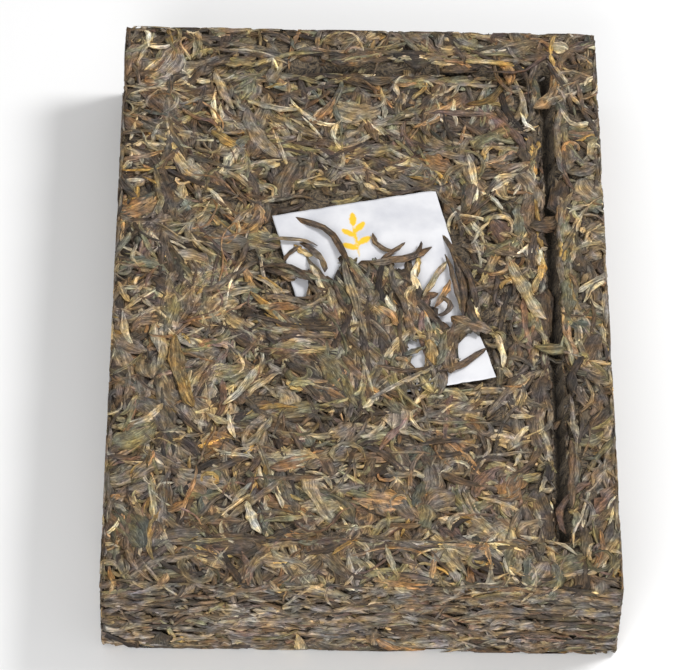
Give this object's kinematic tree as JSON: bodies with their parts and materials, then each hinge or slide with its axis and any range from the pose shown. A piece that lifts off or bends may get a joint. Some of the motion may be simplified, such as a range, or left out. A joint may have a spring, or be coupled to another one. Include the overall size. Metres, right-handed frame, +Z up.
{
  "type": "pu erh tea brick",
  "caption": "Pressed pu erh tea brick: a flat rectangular block of compressed leaves with a sunk panel on top and a plain paper ticket half buried in the leaves.",
  "frame": {"origin": "middle of the underside, on the plane that the brick lies on", "axes": "+X across the brick, +Y along its length away from the camera, +Z up out of the side with the sunk panel"},
  "size_m": [0.168, 0.25, 0.035],
  "materials": {
    "pressed_leaf": "matt dry leaf, dark brown with olive, tan and buff leaves",
    "ticket_paper": "matt thin white paper"
  },
  "bodies": {
    "root": {"tea_brick": "pressed_leaf", "paper_ticket": "ticket_paper"}
  },
  "joints": []
}
